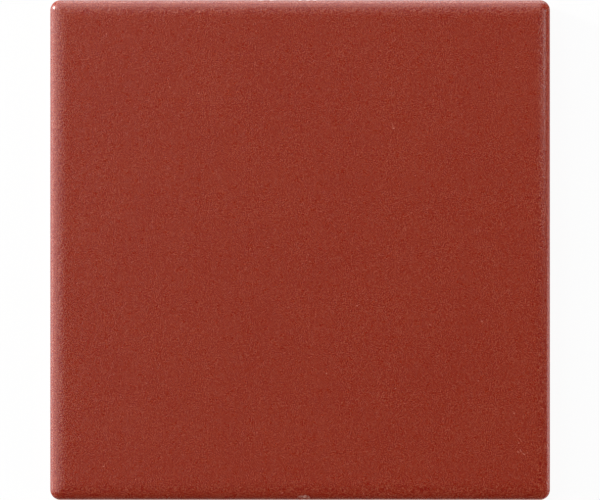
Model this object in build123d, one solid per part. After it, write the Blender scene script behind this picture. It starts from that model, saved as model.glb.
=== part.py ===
from build123d import *

import math
import os

# Dust-pressed ceramic floor tile with a glazed face, for a 100 mm laying module.
# Millimetres and degrees. +Z is up, and the tile lies on its back with the face up.
# The origin is the centre of the back, in the plane of the rib crests.

# Body
tile_width = 98.0  # work size along X
tile_length = 98.0  # work size along Y
tile_thickness = 6.0  # rib crests to glazed face
corner_radius = 2.0  # plan corners

# Edge section, from the face down to the back
shoulder_reach = 3.4  # outline to where the flat face starts to fall away
shoulder_radius = 11.0  # slow fall of the face towards the nose
nose_radius = 1.6  # round from the shoulder down into the sides
land_height = 1.8  # upright band that lines the grout joint
side_draft = 4.0  # inward lean of the sides below the band, to leave the die
back_chamfer = 0.5  # broken edge around the back

# Keying relief: a grid of shallow pockets with ribs between them
key_count_x = 6  # pockets along X
key_count_y = 6  # pockets along Y
key_margin = 5.0  # plain border between the work size and the outer pockets
rib_width = 3.0  # flat crest between two pockets
key_depth = 0.7  # rib crest to pocket floor
key_draft = 30.0  # lean of the pocket walls
key_floor_radius = 0.8  # corners of the pocket floor

# Sizes that follow
shoulder_turn = math.degrees(
    math.asin((shoulder_reach - nose_radius) / (shoulder_radius - nose_radius))
)
key_pitch_x = (tile_width - 2 * key_margin + rib_width) / key_count_x
key_pitch_y = (tile_length - 2 * key_margin + rib_width) / key_count_y
key_width = key_pitch_x - rib_width
key_length = key_pitch_y - rib_width
key_mouth_radius = key_floor_radius + key_depth * math.tan(math.radians(key_draft))


def half_section(half):
    """Half of the upright section, from the middle out to an edge at the given distance."""
    shoulder = JernArc(
        (half - shoulder_reach, tile_thickness), (1, 0), shoulder_radius, -shoulder_turn
    )
    nose = JernArc(shoulder @ 1, shoulder % 1, nose_radius, shoulder_turn - 90)
    land = Line(nose @ 1, (nose @ 1) - (0, land_height))
    side_foot = half - ((land @ 1).Y - back_chamfer) * math.tan(math.radians(side_draft))
    rest = Polyline(
        land @ 1,
        (side_foot, back_chamfer),
        (side_foot - back_chamfer, 0),
        (0, 0),
        (0, tile_thickness),
        shoulder @ 0,
    )
    return make_face(shoulder + nose + land + rest)


def bar(width, length):
    """A bar of the tile's section, of the given width along X and length along Y."""
    section = half_section(width / 2)
    section += mirror(section, about=Plane.YZ)
    return extrude(Plane.XZ * section, length / 2, both=True)


def turned_corner():
    """One plan corner: the outer part of the section, turned about the corner's centre."""
    half = shoulder_reach + corner_radius
    outer = half_section(half) & Pos(half, 0) * Rectangle(
        corner_radius, tile_thickness, align=(Align.MAX, Align.MIN)
    )
    return revolve(Plane.XZ * Pos(-shoulder_reach, 0) * outer, Axis.Z, revolution_arc=90)


def four_corners(shape):
    """A shape at one corner, and its mirror images at the other three."""
    pair = [shape, mirror(shape, about=Plane.YZ)]
    return pair + [mirror(one, about=Plane.XZ) for one in pair]


def pressed_blank():
    """The pressed body, with one section along all four sides and around the corners."""
    centre = Pos(tile_width / 2 - corner_radius, tile_length / 2 - corner_radius)
    square = Box(corner_radius, corner_radius, tile_thickness, align=Align.MIN)
    blank = bar(tile_width, tile_length) & Rot(Z=90) * bar(tile_length, tile_width)
    blank -= four_corners(centre * square)
    return blank + four_corners(centre * turned_corner())


def key_pockets():
    """The pockets of the back, narrowing upward from their mouths in the rib plane."""
    mouth = RectangleRounded(key_width, key_length, key_mouth_radius)
    pocket = extrude(mouth, key_depth, taper=key_draft)
    return [
        place * pocket
        for place in GridLocations(key_pitch_x, key_pitch_y, key_count_x, key_count_y)
    ]


os.makedirs("parts", exist_ok=True)
floor_tile = pressed_blank() - key_pockets()
export_step(floor_tile, "parts/floor_tile.step")
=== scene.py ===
import math

import bpy
import numpy as np
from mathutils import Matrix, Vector, noise


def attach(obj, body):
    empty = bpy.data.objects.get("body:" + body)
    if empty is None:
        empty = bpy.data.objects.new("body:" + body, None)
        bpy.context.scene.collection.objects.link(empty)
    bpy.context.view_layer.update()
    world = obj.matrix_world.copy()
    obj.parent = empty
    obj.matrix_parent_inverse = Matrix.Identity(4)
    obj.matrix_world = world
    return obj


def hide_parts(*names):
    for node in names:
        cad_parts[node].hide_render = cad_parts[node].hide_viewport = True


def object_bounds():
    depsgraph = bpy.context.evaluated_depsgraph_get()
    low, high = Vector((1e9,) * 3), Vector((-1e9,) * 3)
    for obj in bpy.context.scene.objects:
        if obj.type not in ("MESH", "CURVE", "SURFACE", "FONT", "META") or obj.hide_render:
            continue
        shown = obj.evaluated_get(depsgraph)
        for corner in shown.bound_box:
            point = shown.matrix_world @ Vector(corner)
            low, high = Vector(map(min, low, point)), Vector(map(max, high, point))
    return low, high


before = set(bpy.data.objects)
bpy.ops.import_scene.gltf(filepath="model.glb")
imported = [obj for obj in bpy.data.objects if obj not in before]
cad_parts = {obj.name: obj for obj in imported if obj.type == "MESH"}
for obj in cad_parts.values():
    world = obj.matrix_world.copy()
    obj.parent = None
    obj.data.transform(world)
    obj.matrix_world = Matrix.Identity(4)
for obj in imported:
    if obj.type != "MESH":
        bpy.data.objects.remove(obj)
cad_low, cad_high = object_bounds()

# The tile's sizes in metres, as in the part's source, apart from the nose
MM = 0.001
HALF = (cad_high.x - cad_low.x) / 2
THICKNESS = cad_high.z - cad_low.z
CORNER_RADIUS = 2.0 * MM
SHOULDER_REACH = 3.4 * MM
SHOULDER_RADIUS = 11.0 * MM
LAND_FOOT = 2.43 * MM
SIDE_DRAFT = math.radians(4.0)
BACK_CHAMFER = 0.5 * MM
KEY_COUNT = 6
KEY_MARGIN = 5.0 * MM
RIB_WIDTH = 3.0 * MM
KEY_DEPTH = 0.7 * MM
KEY_DRAFT = math.radians(30.0)
KEY_FLOOR_RADIUS = 0.8 * MM

# The nose of the fired tile, which the photograph shows ending in an arris at the outline
NOSE_RADIUS = 2.3 * MM
NOSE_END = math.radians(51.0)
ARRIS_RADIUS = 0.15 * MM

# Sizes that follow
ARRIS_WIDTH = ARRIS_RADIUS * (1 - math.sin(NOSE_END))
SHOULDER_TURN = math.asin(
    (SHOULDER_REACH - NOSE_RADIUS * math.sin(NOSE_END) - ARRIS_WIDTH) / (SHOULDER_RADIUS - NOSE_RADIUS)
)
SHOULDER_FALL = SHOULDER_RADIUS * (1 - math.cos(SHOULDER_TURN))
NOSE_FALL = NOSE_RADIUS * (math.cos(SHOULDER_TURN) - math.cos(NOSE_END))
ARRIS_TOP = THICKNESS - SHOULDER_FALL - NOSE_FALL
NOSE_FOOT = ARRIS_TOP - ARRIS_RADIUS * math.cos(NOSE_END)
KEY_PITCH = (2 * HALF - 2 * KEY_MARGIN + RIB_WIDTH) / KEY_COUNT
KEY_WIDTH = KEY_PITCH - RIB_WIDTH
KEY_WALL = KEY_DEPTH * math.tan(KEY_DRAFT)
KEY_MOUTH_RADIUS = KEY_FLOOR_RADIUS + KEY_WALL

# Rounding of the pockets' rims and floors in the fired tile
KEY_ROUNDING = 0.15 * MM

# Where the tile lies in the photograph, in pixels of its 600 x 500 frame
IMAGE_WIDTH = 600
IMAGE_HEIGHT = 500
PHOTO_LEFT = 50.25
PHOTO_RIGHT = 550.0
PHOTO_TOP = 0.16
PHOTO_BOTTOM = 499.91
PIXEL = 2 * HALF / (PHOTO_RIGHT - PHOTO_LEFT)

# The camera: its height above the foot of the nose in metres, and its sensor in millimetres
CAMERA_DISTANCE = 0.9
SENSOR_WIDTH = 36.0

# Density of the mesh
CELLS = 168
FIELD_INSET = 3.8 * MM
KEY_FIELD_INSET = 4.0 * MM
SHOULDER_ROWS = 9
NOSE_ROWS = 15
ARRIS_ROWS = 4
LAND_ROWS = 8
DRAFT_ROWS = 4
CHAMFER_ROWS = 3
BACK_ROWS = 4
FACE_FOCUS = 2.5 * MM
FACE_FOCUS_BOOST = 2.0
BACK_FOCUS = 0.5 * MM
BACK_FOCUS_BOOST = 5.0
LINE_SAMPLES = 4001

# The chip in the nose of the front edge: where it is, and the pale breaks that show in it, each as
# pixel of the photograph, half sizes along x, y and z in millimetres, turn in degrees and strength
CHIP_Z = THICKNESS - 0.85 * MM
CHIP_COLUMN = 304.2
CHIP_ROW = 497.3
CHIP_RADII = np.array([1.25, 0.6, 0.65]) * MM
CHIP_SCOOP = np.array([0.0, 0.22, -0.18]) * MM
CHIP_BARE_SHARE = 0.25
CHIP_BARE_DEPTHS = (0.02, 0.3)
BREAKS = {
    "left_break": (300.3, 496.2, 0.85, 0.3, 1.4, 14.0, 0.42),
    "middle_break": (304.9, 496.4, 0.62, 0.46, 1.4, 38.0, 0.82),
    "right_break": (308.9, 497.4, 0.26, 0.66, 1.4, 14.0, 0.5),
}

# Small nicks along the back edge, by their columns in the photograph
NICK_COLUMNS = (261.0, 272.5, 300.0, 308.0, 315.0)
NICK_RADII = np.array([0.4, 0.45, 0.7]) * MM
NICK_SCOOP = np.array([0.0, -0.12, -0.06]) * MM
NICK_BARE_SHARE = 0.5
NICK_BARE_DEPTHS = (0.05, 0.4)

# How uneven the outline of a chip or nick is
BREAK_UNEVENNESS = 0.3
BREAK_WAVELENGTH = 0.5 * MM

# The wavy foot of the glaze on the sides, and the step below it
GLAZE_LINE = 2.9 * MM
GLAZE_STEP = 0.07 * MM
GLAZE_STEP_HALF = 0.08 * MM
FOOT_WAVE_HEIGHT = 0.22 * MM
FOOT_WAVELENGTH = 5.0 * MM
FOOT_RIPPLE_HEIGHT = 0.1 * MM
FOOT_RIPPLE_WAVELENGTH = 1.6 * MM

# Unevenness of the sides, and the depths below the face and above the floor where it fades
SIDE_WAVE_DEPTH = 0.02 * MM
SIDE_WAVELENGTH = 6.0 * MM
SIDE_RIPPLE_DEPTH = 0.012 * MM
SIDE_RIPPLE_WAVELENGTH = 1.3 * MM
UNEVEN_FROM_FACE = (0.3 * MM, 1.5 * MM)
UNEVEN_FROM_FLOOR = (0.0, 0.3 * MM)

# Relief of the glazed face, and the depths below it between which the relief fades
FACE_WAVE_DEPTH = 0.012 * MM
FACE_WAVELENGTH = 14.0 * MM
PEEL_DEPTH = 0.014 * MM
PEEL_WAVELENGTH = 2.6 * MM
RELIEF_END = 0.9 * MM
RELIEF_FULL = 0.1 * MM

# Colours as they look on screen, and plain white as light
# Where the fine grain and the flecks mix in the deep and pale glaze colours, they are partly the glaze's
# own uneven tone and partly painted shade and painted glints of its micro-relief
GLAZE_DEEP_AND_SHADE = (125, 4, 0)
GLAZE_RED = (142, 37, 2)
GLAZE_PALE_AND_GLINT = (161, 76, 55)
CHIP_COLOUR = (214, 146, 132)
CLAY_COLOUR = (174, 118, 99)
KILN_DUST_COLOUR = (214, 200, 188)
SPECK_COLOUR = (196, 118, 100)
WHITE = (1, 1, 1, 1)

# Gloss of the glaze and the clay, and the clay's tones
GLAZE_IOR = 1.7
GLAZE_ROUGHNESS_LOW = 0.26
GLAZE_ROUGHNESS_HIGH = 0.32
CLAY_ROUGHNESS = 0.88
CLAY_DARK_GAIN = 0.78
CLAY_LIGHT_GAIN = 1.15

# Wavelengths of the textures
GRAIN_WAVELENGTH = 0.2 * MM
FLECK_WAVELENGTH = 0.36 * MM
MOTTLE_WAVELENGTH = 9.0 * MM
GROG_WAVELENGTH = 0.6 * MM
DUST_WAVELENGTH = 7.0 * MM
PATCH_WAVELENGTH = 1.5 * MM
PIT_WAVELENGTH = 0.45 * MM
RIPPLE_WAVELENGTH = 0.9 * MM

# Noise values between which a texture goes from none to full
NOISE_SPAN = (0.3, 0.7)
# The grain's spans darken and lighten the glaze colour: partly its own tone, partly painted shade and
# painted glints of its micro-relief
GRAIN_DEEP_AND_SHADE_SPAN = (0.5, 0.34)
GRAIN_PALE_AND_GLINT_SPAN = (0.5, 0.66)
FLECK_SPAN = (0.63, 0.73)
DUST_SPAN = (0.42, 0.68)

# Heights between which the finish changes: from the glaze foot, below the face, and at the rib crests
FOOT_SPAN = (-0.06 * MM, 0.1 * MM)
PEEL_SPAN = (THICKNESS - 0.7 * MM, THICKNESS - 0.1 * MM)
CREST_SPAN = (0.3 * MM, 0.0)

# Strength of the textures in colour and in relief
MOTTLE_SHARE = 0.14
FLECK_SHARE = 0.4
RIPPLE_RELIEF = 0.42
GRAIN_RELIEF = 0.35
PIT_RELIEF = 0.5
SIDE_PEEL_SHARE = 0.4
BUMP_DEPTH = 0.1 * MM

# Pale specks and scratches in the glaze: pixel of the photograph, half length and half width in
# millimetres, turn in degrees and strength
BLEMISHES = {
    "middle_speck": (267.6, 247.5, 0.24, 0.16, 35.0, 0.5),
    "upper_arc": (392.5, 125.0, 0.62, 0.12, -84.0, 0.35),
    "upper_speck": (393.6, 128.3, 0.3, 0.19, 25.0, 0.8),
    "left_speck": (112.5, 420.5, 0.2, 0.18, 0.0, 0.6),
    "lower_left_speck": (103.5, 466.5, 0.25, 0.2, 0.0, 0.65),
    "bottom_left_speck": (135.5, 479.5, 0.2, 0.17, 0.0, 0.5),
    "top_left_speck": (103.5, 5.3, 0.24, 0.2, 0.0, 0.35),
    "right_fleck": (514.2, 413.3, 0.3, 0.16, -32.0, 0.55),
    "right_speck": (518.6, 443.0, 0.22, 0.2, 0.0, 0.6),
    "cluster_speck": (518.2, 452.0, 0.3, 0.18, -35.0, 0.6),
    "cluster_dash": (520.7, 450.6, 0.48, 0.15, -69.0, 0.55),
    "cluster_tick": (523.9, 454.1, 0.48, 0.17, -40.0, 0.6),
    "cluster_arc": (527.3, 452.5, 0.5, 0.13, -73.0, 0.25),
    "scratch_start": (516.3, 434.9, 0.6, 0.11, -45.0, 0.25),
    "scratch_end": (520.4, 439.8, 0.75, 0.12, -57.0, 0.35),
    "edge_fleck": (542.9, 408.7, 0.26, 0.16, -35.0, 0.5),
    "front_tick": (282.3, 493.0, 0.42, 0.15, 40.0, 0.5),
}

# Pale pinpoints in the glaze: half size, then pixel of the photograph and strength of each
PINPOINT_HALF = 0.18 * MM
PINPOINTS = {
    "centre_pinpoint": (357.0, 305.8, 1.0),
    "right_pinpoint": (482.0, 321.2, 0.85),
    "upper_left_pinpoint": (198.4, 93.5, 0.75),
    "top_pinpoint": (199.3, 11.8, 0.75),
    "top_left_pinpoint": (169.6, 87.0, 0.65),
    "left_pinpoint": (100.1, 187.5, 0.65),
    "upper_right_pinpoint": (415.3, 175.8, 0.55),
    "lower_pinpoint": (326.5, 373.4, 0.6),
    "lower_middle_pinpoint": (395.6, 388.5, 0.65),
    "lower_right_pinpoint": (478.1, 380.7, 0.65),
    "middle_right_pinpoint": (430.0, 324.8, 0.65),
    "front_pinpoint": (363.5, 494.0, 0.6),
    "front_right_pinpoint": (388.4, 494.3, 0.55),
}

# The middle share of a speck, pinpoint or break that has its full strength
SPOT_CORE = 0.35

# The floor, and how white it looks to the camera and in reflections beside its own lit colour
FLOOR_COLOUR = (245, 245, 245)
FLOOR_HALF = 1.5
BACKDROP_SHARE = 0.94
MIRRORED_SHARE = 0.05

# Each softbox: azimuth and elevation in degrees, distance, width and height in metres, and power
# in watts. Azimuth 0 is to the right of the picture, and 90 toward its top.
LAMPS = {
    "left_softbox": (174, 41, 0.5, 0.56, 0.52, 1.16),
    "top_softbox": (112, 41, 3.2, 3.37, 3.02, 59.0),
    "right_strip": (17, 43, 0.3, 0.04, 0.13, 0.07),
    "right_low_strip": (354, 9, 0.41, 0.08, 0.1, 0.095),
    "right_fill": (335, 6, 1.0, 0.56, 0.18, 7.6),
    "left_low_strip": (174, 7, 1.0, 0.9, 0.19, 2.5),
    "top_low_strip": (86, 6, 1.0, 1.28, 0.26, 5.8),
    "key_lamp": (155, 22, 1.8, 0.19, 0.19, 23.0),
}

# The lamps that light the tile without a glint in the glaze
LAMPS_WITHOUT_GLINT = {"right_fill"}

# Strength of the white world
WORLD_LEVEL = 0.04


def photo_point(column, row, height=NOSE_FOOT):
    """The place in the tile's frame, at a height, of a pixel of the photograph."""
    scale = PIXEL * (1 - (height - NOSE_FOOT) / CAMERA_DISTANCE)
    x = (column - (PHOTO_LEFT + PHOTO_RIGHT) / 2) * scale
    y = ((PHOTO_TOP + PHOTO_BOTTOM) / 2 - row) * scale
    return x, y


def chip_centre():
    """The middle of the chip in the tile's frame."""
    return (*photo_point(CHIP_COLUMN, CHIP_ROW, CHIP_Z), CHIP_Z)


def smooth_step(value, low, high):
    """A smooth rise from 0 at the low value to 1 at the high one."""
    t = np.clip((value - low) / (high - low), 0.0, 1.0)
    return t * t * (3 - 2 * t)


def noise_at(points, wavelength, seed):
    """Seeded smooth noise of about -1 to 1 at each point."""
    scale = 1 / wavelength
    return np.array([noise.noise((x * scale + seed, y * scale, z * scale)) for x, y, z in points])


def focused_lines(half, places, spread, boost):
    """Grid lines from -half to half, closer together near the given places."""
    x = np.linspace(-half, half, LINE_SAMPLES)
    density = np.ones_like(x)
    for place in places:
        density += boost * np.exp(-(((x - place) / spread) ** 2))
    total = np.concatenate([[0], np.cumsum((density[1:] + density[:-1]) / 2)])
    return np.interp(np.linspace(0, total[-1], CELLS + 1), total, x)


def side_points(shares, half, radius):
    """Points and outward directions along the front of a rounded square, half a corner at each end."""
    straight = half - radius
    arc = radius * math.pi / 4
    along = (shares - 0.5) * 2 * (straight + arc)
    over = np.clip(np.abs(along) - straight, 0, None)
    turn = np.sign(along) * (over / radius if radius > 0 else over * 0)
    x = np.clip(along, -straight, straight) + radius * np.sin(turn)
    y = -straight - radius * np.cos(turn)
    return np.stack([x, y, np.sin(turn), -np.cos(turn)], axis=1)


def loop_points(shares_x, shares_y, half, radius):
    """One closed loop around the tile, from the front left corner, with its outward directions."""
    sides = [shares_x, shares_y, 1 - shares_x[::-1], 1 - shares_y[::-1]]
    points = []
    for turn, shares in enumerate(sides):
        x, y, nx, ny = side_points(shares[:-1], half, radius).T
        for _ in range(turn):
            x, y, nx, ny = -y, x, -ny, nx
        points.append(np.stack([x, y, nx, ny], axis=1))
    return np.concatenate(points)


def shoulder_point(angle):
    """Inset and height of the slow fall of the face, where it has turned by the given angle."""
    inset = SHOULDER_REACH - SHOULDER_RADIUS * math.sin(angle)
    return inset, THICKNESS - SHOULDER_RADIUS * (1 - math.cos(angle))


def nose_point(angle):
    """Inset and height of the nose, where it has turned by the given angle."""
    inset = ARRIS_WIDTH + NOSE_RADIUS * (math.sin(NOSE_END) - math.sin(angle))
    return inset, ARRIS_TOP + NOSE_RADIUS * (math.cos(angle) - math.cos(NOSE_END))


def arris_point(angle):
    """Inset and height of the small round at the outline, where it has turned by the given angle."""
    return ARRIS_RADIUS * (1 - math.sin(angle)), NOSE_FOOT + ARRIS_RADIUS * math.cos(angle)


def side_rows():
    """Inset and height of each loop over the edge and down to the back, and of those under the tile."""
    shoulder = [shoulder_point(a) for a in np.linspace(0, SHOULDER_TURN, SHOULDER_ROWS)]
    nose = [nose_point(a) for a in np.linspace(SHOULDER_TURN, NOSE_END, NOSE_ROWS)[1:]]
    arris = [arris_point(a) for a in np.linspace(NOSE_END, math.pi / 2, ARRIS_ROWS)[1:]]
    land = [(0.0, z) for z in np.linspace(NOSE_FOOT, LAND_FOOT, LAND_ROWS + 1)[1:]]
    draft = [
        ((LAND_FOOT - z) * math.tan(SIDE_DRAFT), z)
        for z in np.linspace(LAND_FOOT, BACK_CHAMFER, DRAFT_ROWS + 1)[1:]
    ]
    side_foot = draft[-1][0]
    chamfer = [
        (side_foot + BACK_CHAMFER * (1 - math.cos(a)), BACK_CHAMFER * (1 - math.sin(a)))
        for a in np.linspace(0, math.pi / 2, CHAMFER_ROWS + 1)[1:]
    ]
    under = [(inset, 0.0) for inset in np.linspace(chamfer[-1][0], KEY_FIELD_INSET, BACK_ROWS + 1)[1:-1]]
    return shoulder + nose + arris + land + draft + chamfer, under


def face_height(x, y):
    """Height of the glazed face before its relief."""
    return np.full_like(x, THICKNESS)


def key_height(x, y):
    """Height of the back above the rib crests: pockets with rounded rims and floors."""
    local = []
    for v in (x, y):
        cell = np.clip(np.floor(v / KEY_PITCH), -KEY_COUNT // 2, KEY_COUNT // 2 - 1)
        local.append(np.abs(v - (cell + 0.5) * KEY_PITCH) - KEY_WIDTH / 2 + KEY_MOUTH_RADIUS)
    outside = np.hypot(np.clip(local[0], 0, None), np.clip(local[1], 0, None))
    inside = np.minimum(np.maximum(local[0], local[1]), 0)
    distance = outside + inside - KEY_MOUTH_RADIUS
    return KEY_DEPTH * smooth_step(-distance, -KEY_ROUNDING, KEY_WALL + KEY_ROUNDING)


def grid_quads(start):
    """Quads of a square grid of vertices, counter-clockwise from above."""
    n = CELLS + 1
    index = start + np.arange(n * n).reshape(n, n)
    corners = index[:-1, :-1], index[:-1, 1:], index[1:, 1:], index[1:, :-1]
    return np.stack([c.ravel() for c in corners], axis=1)


def grid_border(start):
    """The border of such a grid as a closed loop, from its front left corner."""
    n = CELLS + 1
    index = start + np.arange(n * n).reshape(n, n)
    return np.concatenate([index[0, :-1], index[:-1, -1], index[-1, :0:-1], index[:0:-1, 0]])


def band_quads(upper, lower):
    """Quads between two loops of equal length, facing out."""
    return np.stack([upper, lower, np.roll(lower, -1), np.roll(upper, -1)], axis=1)


def glaze_line(points):
    """Height of the wavy foot of the glaze on the sides."""
    around = points * (1, 1, 0)
    wave = FOOT_WAVE_HEIGHT * noise_at(around, FOOT_WAVELENGTH, seed=3.0)
    ripple = FOOT_RIPPLE_HEIGHT * noise_at(around, FOOT_RIPPLE_WAVELENGTH, seed=7.0)
    return GLAZE_LINE + wave + ripple


def weathered_sides(points, outward):
    """The loops of the edge, drawn in a little where the glaze is thin or ends."""
    wave = 0.5 + 0.5 * noise_at(points, SIDE_WAVELENGTH, seed=11.0)
    ripple = 0.5 + 0.5 * noise_at(points, SIDE_RIPPLE_WAVELENGTH, seed=17.0)
    below = smooth_step(glaze_line(points) - points[:, 2], -GLAZE_STEP_HALF, GLAZE_STEP_HALF)
    drawn_in = SIDE_WAVE_DEPTH * wave + SIDE_RIPPLE_DEPTH * ripple + GLAZE_STEP * below
    standing = smooth_step(THICKNESS - points[:, 2], *UNEVEN_FROM_FACE)
    standing *= smooth_step(points[:, 2], *UNEVEN_FROM_FLOOR)
    moved = points.copy()
    moved[:, :2] -= outward * (drawn_in * standing)[:, None]
    return moved


def face_relief(points):
    """Depth of the glazed face below its highest plane: slow waves and orange peel."""
    top = smooth_step(points[:, 2], THICKNESS - RELIEF_END, THICKNESS - RELIEF_FULL)
    wave = 0.5 + 0.5 * noise_at(points, FACE_WAVELENGTH, seed=23.0)
    peel = 0.5 + 0.5 * noise_at(points, PEEL_WAVELENGTH, seed=29.0)
    return top * (FACE_WAVE_DEPTH * wave + PEEL_DEPTH * peel)


def scooped(points, centre, radii, scoop, seed):
    """The points with a rough hollow pushed in around a centre, and how deep each lies in it."""
    rough = 1 + BREAK_UNEVENNESS * noise_at(points, BREAK_WAVELENGTH, seed)
    reach = np.linalg.norm((points - centre) / radii, axis=1) * rough
    depth = np.clip(1 - reach, 0, 1)
    return points + depth[:, None] * scoop, depth


def chipped(points):
    """The points with the chip and the nicks knocked out of the edges, and where the body is bare."""
    points, chip = scooped(points, chip_centre(), CHIP_RADII, CHIP_SCOOP, seed=31.0)
    bare = CHIP_BARE_SHARE * smooth_step(chip, *CHIP_BARE_DEPTHS)
    for column in NICK_COLUMNS:
        x, y = photo_point(column, PHOTO_TOP)
        points, nick = scooped(points, (x, y, NOSE_FOOT), NICK_RADII, NICK_SCOOP, seed=column)
        bare = np.maximum(bare, NICK_BARE_SHARE * smooth_step(nick, *NICK_BARE_DEPTHS))
    return points, bare


def mesh_lines():
    """Grid lines of the face along x and y, and of the back along both."""
    face_half = HALF - FIELD_INSET
    nick_middle = photo_point(sum(NICK_COLUMNS) / len(NICK_COLUMNS), PHOTO_TOP)[0]
    places_x = [-face_half, nick_middle, chip_centre()[0], face_half]
    face_x = focused_lines(face_half, places_x, FACE_FOCUS, FACE_FOCUS_BOOST)
    face_y = focused_lines(face_half, [-face_half, face_half], FACE_FOCUS, FACE_FOCUS_BOOST)
    walls = [
        (cell + 0.5) * KEY_PITCH + side * (KEY_WIDTH - KEY_WALL) / 2
        for cell in range(-KEY_COUNT // 2, KEY_COUNT // 2)
        for side in (-1, 1)
    ]
    back = focused_lines(HALF - KEY_FIELD_INSET, walls, BACK_FOCUS, BACK_FOCUS_BOOST)
    return face_x, face_y, back


def grid_points(lines_x, lines_y, height):
    """The points of a grid, at the height that a function gives for each place."""
    x, y = np.meshgrid(lines_x, lines_y)
    return np.stack([x.ravel(), y.ravel(), height(x, y).ravel()], axis=1)


def edge_points(face_x, face_y, back):
    """Points of the loops from the face's grid to the back's, and the outward direction at each."""
    face_shares_x = (face_x / (HALF - FIELD_INSET) + 1) / 2
    face_shares_y = (face_y / (HALF - FIELD_INSET) + 1) / 2
    back_shares = (back / (HALF - KEY_FIELD_INSET) + 1) / 2
    side, under = side_rows()
    points = []
    outward = []
    for number, (inset, height) in enumerate(side + under):
        blend = max(0.0, (number - len(side) + 1) / (len(under) + 1))
        shares_x = face_shares_x + (back_shares - face_shares_x) * blend
        shares_y = face_shares_y + (back_shares - face_shares_y) * blend
        loop = loop_points(shares_x, shares_y, HALF - inset, max(CORNER_RADIUS - inset, 0.0))
        points.append(np.stack([loop[:, 0], loop[:, 1], np.full(len(loop), height)], axis=1))
        outward.append(loop[:, 2:])
    return np.concatenate(points), np.concatenate(outward)


def tile_quads(edge_count):
    """Quads of the mesh. Its vertices are the face's grid, the edge's loops and the back's grid."""
    columns = 4 * CELLS
    edge_start = (CELLS + 1) ** 2
    back_start = edge_start + edge_count
    loops = [grid_border(0)]
    loops += [start + np.arange(columns) for start in range(edge_start, back_start, columns)]
    loops.append(grid_border(back_start))
    quads = [grid_quads(0), grid_quads(back_start)[:, ::-1]]
    quads += [band_quads(upper, lower) for upper, lower in zip(loops, loops[1:])]
    return np.concatenate(quads)


def tile_mesh():
    """The fired tile as one closed mesh: face, nose, sides, rounded back edge and keyed back."""
    face_x, face_y, back_lines = mesh_lines()
    face = grid_points(face_x, face_y, face_height)
    edge, outward = edge_points(face_x, face_y, back_lines)
    back = grid_points(back_lines, back_lines, key_height)
    vertices = np.concatenate([face, weathered_sides(edge, outward), back])
    vertices[:, 2] -= face_relief(vertices)
    vertices, bare = chipped(vertices)

    mesh = bpy.data.meshes.new("floor_tile_fired")
    mesh.from_pydata(vertices.tolist(), [], tile_quads(len(edge)).tolist())
    mesh.polygons.foreach_set("use_smooth", np.ones(len(mesh.polygons), dtype=bool))
    for name, values in (("bare", bare), ("glaze_foot", glaze_line(vertices))):
        attribute = mesh.attributes.new(name, "FLOAT", "POINT")
        attribute.data.foreach_set("value", values.astype(np.float32))
    mesh.update()
    return mesh


def linear(colour, gain=1.0):
    """A screen colour of 0 to 255 as linear RGBA, by the sRGB curve."""
    channels = [c / 255 for c in colour]
    light = [c / 12.92 if c <= 0.04045 else ((c + 0.055) / 1.055) ** 2.4 for c in channels]
    return [gain * c for c in light] + [1.0]


class Nodes:
    """Short calls for building one node tree."""

    def __init__(self, tree):
        self.tree = tree
        tree.nodes.clear()

    def add(self, kind, inputs=None, **settings):
        node = self.tree.nodes.new(kind)
        for name, value in settings.items():
            setattr(node, name, value)
        for name, value in (inputs or {}).items():
            if isinstance(value, bpy.types.NodeSocket):
                self.tree.links.new(value, node.inputs[name])
            else:
                node.inputs[name].default_value = value
        return node

    def noise(self, vector, wavelength, detail=2.0, roughness=0.5, seed=0.0):
        inputs = {
            "Vector": vector,
            "W": seed,
            "Scale": 1 / wavelength,
            "Detail": detail,
            "Roughness": roughness,
        }
        return self.add("ShaderNodeTexNoise", inputs, noise_dimensions="4D").outputs["Fac"]

    def remap(self, value, low, high, to_low=0.0, to_high=1.0, smooth=False):
        inputs = {"Value": value, "From Min": low, "From Max": high, "To Min": to_low, "To Max": to_high}
        kind = "SMOOTHSTEP" if smooth else "LINEAR"
        return self.add("ShaderNodeMapRange", inputs, interpolation_type=kind).outputs["Result"]

    def maths(self, operation, a, b):
        return self.add("ShaderNodeMath", {0: a, 1: b}, operation=operation).outputs["Value"]

    def mix_colour(self, share, a, b):
        # The Mix node has its colours at inputs 6 and 7, and its plain values at 2 and 3
        return self.add("ShaderNodeMix", {"Factor": share, 6: a, 7: b}, data_type="RGBA").outputs[2]

    def mix_value(self, share, a, b):
        return self.add("ShaderNodeMix", {"Factor": share, 2: a, 3: b}, data_type="FLOAT").outputs[0]

    def spot(self, vector, centre, half_sizes, turn):
        """A soft elongated spot: 1 in its middle and 0 outside it."""
        inputs = {"Vector": vector, "Location": centre, "Rotation": (0, 0, turn), "Scale": half_sizes}
        local = self.add("ShaderNodeMapping", inputs, vector_type="TEXTURE").outputs["Vector"]
        reach = self.add("ShaderNodeVectorMath", {0: local}, operation="LENGTH").outputs["Value"]
        return self.remap(reach, 1.0, SPOT_CORE, smooth=True)


def blemish_mask(n, place):
    """Where the specks and scratches of the glaze are, seen from above."""
    flat = n.add("ShaderNodeVectorMath", {0: place, 1: (1, 1, 0)}, operation="MULTIPLY").outputs["Vector"]
    mask = 0.0
    for column, row, half_length, half_width, turn, strength in BLEMISHES.values():
        x, y = photo_point(column, row, THICKNESS)
        spot = n.spot(flat, (x, y, 0), (half_length * MM, half_width * MM, 1), math.radians(turn))
        mask = n.maths("MAXIMUM", mask, n.maths("MULTIPLY", spot, strength))
    for column, row, strength in PINPOINTS.values():
        x, y = photo_point(column, row, THICKNESS)
        spot = n.spot(flat, (x, y, 0), (PINPOINT_HALF, PINPOINT_HALF, 1), 0.0)
        mask = n.maths("MAXIMUM", mask, n.maths("MULTIPLY", spot, strength))
    return mask


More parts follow.
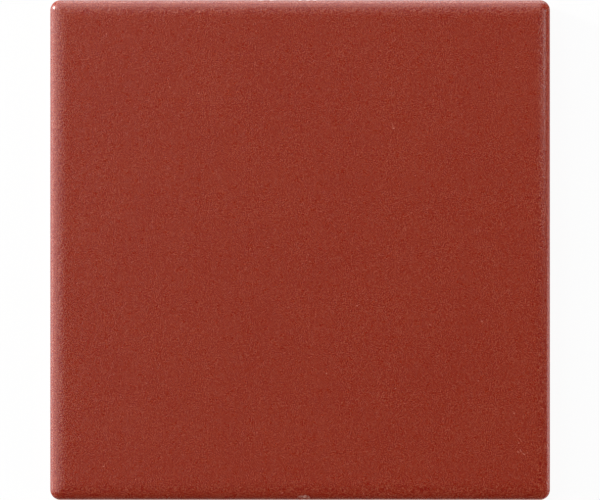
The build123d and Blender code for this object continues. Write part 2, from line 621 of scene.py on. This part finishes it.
def break_mask(n, place):
    """Where the body shows pale in the chip."""
    mask = 0.0
    for column, row, half_x, half_y, half_z, turn, strength in BREAKS.values():
        centre = (*photo_point(column, row, CHIP_Z), CHIP_Z)
        spot = n.spot(place, centre, (half_x * MM, half_y * MM, half_z * MM), math.radians(turn))
        mask = n.maths("MAXIMUM", mask, n.maths("MULTIPLY", spot, strength))
    return mask


def glaze_colour(n, place, grain):
    """Red glaze with fine grain and pale flecks, partly its own tone and partly painted shade and painted
    glints of its micro-relief, slow mottle, and the specks and scratches.
    """
    mottle = n.noise(place, MOTTLE_WAVELENGTH, detail=3.0, seed=3.0)
    flecks = n.noise(place, FLECK_WAVELENGTH, detail=0.0, seed=9.0)
    # The grain darkens and lightens the glaze: partly its own tone, partly painted shade and painted
    # glints of the micro-relief
    colour = n.mix_colour(n.remap(grain, *GRAIN_DEEP_AND_SHADE_SPAN), linear(GLAZE_RED), linear(GLAZE_DEEP_AND_SHADE))
    colour = n.mix_colour(n.remap(grain, *GRAIN_PALE_AND_GLINT_SPAN), colour, linear(GLAZE_PALE_AND_GLINT))
    mottled = n.remap(mottle, *NOISE_SPAN, to_high=MOTTLE_SHARE)
    colour = n.mix_colour(mottled, colour, linear(GLAZE_DEEP_AND_SHADE))
    # The pale flecks are partly painted glints of the micro-relief too
    flecked = n.remap(flecks, *FLECK_SPAN, to_high=FLECK_SHARE)
    colour = n.mix_colour(flecked, colour, linear(GLAZE_PALE_AND_GLINT))
    return n.mix_colour(blemish_mask(n, place), colour, linear(SPECK_COLOUR))


def clay_colour(n, place, height, bare):
    """Fired clay with dark and light grog, paler in the chip, and kiln dust on the rib crests."""
    grog = n.noise(place, GROG_WAVELENGTH, detail=3.0, roughness=0.7, seed=4.0)
    dust = n.noise(place, DUST_WAVELENGTH, detail=4.0, roughness=0.65, seed=5.0)
    dark = linear(CLAY_COLOUR, CLAY_DARK_GAIN)
    light = linear(CLAY_COLOUR, CLAY_LIGHT_GAIN)
    colour = n.mix_colour(n.remap(grog, *NOISE_SPAN), dark, light)
    colour = n.mix_colour(bare, colour, linear(CHIP_COLOUR))
    dusty = n.maths("MULTIPLY", n.remap(dust, *DUST_SPAN), n.remap(height, *CREST_SPAN))
    return n.mix_colour(dusty, colour, linear(KILN_DUST_COLOUR))


def fine_relief(n, place, height, grain, glazed):
    """Ripple and grain in the glaze, weaker on the sides, and pits in the bare clay."""
    pits = n.noise(place, PIT_WAVELENGTH, detail=4.0, roughness=0.7, seed=7.0)
    ripple = n.noise(place, RIPPLE_WAVELENGTH, detail=1.0, seed=8.0)
    ripple = n.maths("MULTIPLY", ripple, RIPPLE_RELIEF)
    peel = n.maths("ADD", ripple, n.maths("MULTIPLY", grain, GRAIN_RELIEF))
    peel = n.maths("MULTIPLY", peel, n.remap(height, *PEEL_SPAN, to_low=SIDE_PEEL_SHARE))
    relief = n.mix_value(glazed, n.maths("MULTIPLY", pits, PIT_RELIEF), peel)
    bump = n.add("ShaderNodeBump", {"Strength": 1.0, "Distance": BUMP_DEPTH, "Height": relief})
    return bump.outputs["Normal"]


def tile_material():
    """Satin red glaze over the face and nose, and bare fired clay below its foot and in the chip."""
    material = bpy.data.materials.new("satin_red_glaze_on_clay")
    material.use_nodes = True
    n = Nodes(material.node_tree)
    place = n.add("ShaderNodeTexCoord").outputs["Object"]
    height = n.add("ShaderNodeSeparateXYZ", {"Vector": place}).outputs["Z"]
    bare = n.add("ShaderNodeAttribute", attribute_name="bare").outputs["Fac"]
    bare = n.maths("MAXIMUM", bare, break_mask(n, place))
    foot = n.add("ShaderNodeAttribute", attribute_name="glaze_foot").outputs["Fac"]
    above = n.remap(n.maths("SUBTRACT", height, foot), *FOOT_SPAN, smooth=True)
    glazed = n.maths("MULTIPLY", above, n.maths("SUBTRACT", 1.0, bare))

    grain = n.noise(place, GRAIN_WAVELENGTH, detail=0.0, seed=2.0)
    glaze = glaze_colour(n, place, grain)
    clay = clay_colour(n, place, height, bare)
    patchy = n.noise(place, PATCH_WAVELENGTH, detail=3.0, seed=6.0)
    glaze_roughness = n.remap(patchy, *NOISE_SPAN, GLAZE_ROUGHNESS_LOW, GLAZE_ROUGHNESS_HIGH)
    finish = {
        "Base Color": n.mix_colour(glazed, clay, glaze),
        "Roughness": n.mix_value(glazed, CLAY_ROUGHNESS, glaze_roughness),
        "Normal": fine_relief(n, place, height, grain, glazed),
        "IOR": GLAZE_IOR,
    }
    shader = n.add("ShaderNodeBsdfPrincipled", finish)
    n.add("ShaderNodeOutputMaterial", {"Surface": shader.outputs["BSDF"]})
    return material


def add_tile():
    """The fired tile, in place of the CAD node."""
    tile = bpy.data.objects.new("floor_tile_fired", tile_mesh())
    bpy.context.scene.collection.objects.link(tile)
    tile.data.materials.append(tile_material())
    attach(tile, "root")
    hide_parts("floor_tile")


def add_floor():
    """A plain white floor that keeps the tile's shadow."""
    material = bpy.data.materials.new("white_floor")
    material.use_nodes = True
    n = Nodes(material.node_tree)
    path = n.add("ShaderNodeLightPath").outputs
    mirrored = n.maths("MAXIMUM", path["Is Glossy Ray"], path["Is Transmission Ray"])
    share = n.maths("MULTIPLY", mirrored, MIRRORED_SHARE)
    share = n.maths("MAXIMUM", share, n.maths("MULTIPLY", path["Is Camera Ray"], BACKDROP_SHARE))
    matt = n.add("ShaderNodeBsdfDiffuse", {"Color": linear(FLOOR_COLOUR)})
    white = n.add("ShaderNodeEmission", {"Color": WHITE, "Strength": 1.0})
    shaders = {0: share, 1: matt.outputs["BSDF"], 2: white.outputs["Emission"]}
    mixed = n.add("ShaderNodeMixShader", shaders)
    n.add("ShaderNodeOutputMaterial", {"Surface": mixed.outputs["Shader"]})

    mesh = bpy.data.meshes.new("white_floor")
    z = cad_low.z
    corners = [(-FLOOR_HALF, -FLOOR_HALF, z), (FLOOR_HALF, -FLOOR_HALF, z)]
    corners += [(FLOOR_HALF, FLOOR_HALF, z), (-FLOOR_HALF, FLOOR_HALF, z)]
    mesh.from_pydata(corners, [], [(0, 1, 2, 3)])
    mesh.materials.append(material)
    floor = bpy.data.objects.new("white_floor", mesh)
    bpy.context.scene.collection.objects.link(floor)


def add_lamp(name, azimuth, elevation, distance, width, height, power):
    """A softbox that faces the tile."""
    a = math.radians(azimuth)
    e = math.radians(elevation)
    way = Vector((math.cos(a) * math.cos(e), math.sin(a) * math.cos(e), math.sin(e)))
    data = bpy.data.lights.new(name, "AREA")
    data.shape = "RECTANGLE"
    data.size = width
    data.size_y = height
    data.energy = power
    lamp = bpy.data.objects.new(name, data)
    lamp.location = way * distance
    lamp.rotation_euler = way.to_track_quat("Z", "Y").to_euler()
    lamp.visible_camera = False
    lamp.visible_glossy = name not in LAMPS_WITHOUT_GLINT
    bpy.context.scene.collection.objects.link(lamp)


def add_light():
    """A dim white world and the softboxes."""
    world = bpy.data.worlds.new("studio")
    world.use_nodes = True
    n = Nodes(world.node_tree)
    sky = n.add("ShaderNodeBackground", {"Color": WHITE, "Strength": WORLD_LEVEL})
    n.add("ShaderNodeOutputWorld", {"Surface": sky.outputs["Background"]})
    bpy.context.scene.world = world
    for name, setting in LAMPS.items():
        add_lamp(name, *setting)


def add_camera():
    """A long lens straight above the tile, with the tile where the photograph has it."""
    data = bpy.data.cameras.new("camera")
    camera = bpy.data.objects.new("camera", data)
    bpy.context.scene.collection.objects.link(camera)
    bpy.context.scene.camera = camera
    data.sensor_fit = "HORIZONTAL"
    data.sensor_width = SENSOR_WIDTH
    data.lens = SENSOR_WIDTH * CAMERA_DISTANCE / (IMAGE_WIDTH * PIXEL)
    x, y = photo_point(IMAGE_WIDTH / 2, IMAGE_HEIGHT / 2)
    camera.location = (x, y, NOSE_FOOT + CAMERA_DISTANCE)
    camera.rotation_euler = (0, 0, 0)


bpy.context.scene.view_settings.view_transform = "Standard"
add_tile()
add_floor()
add_light()
add_camera()
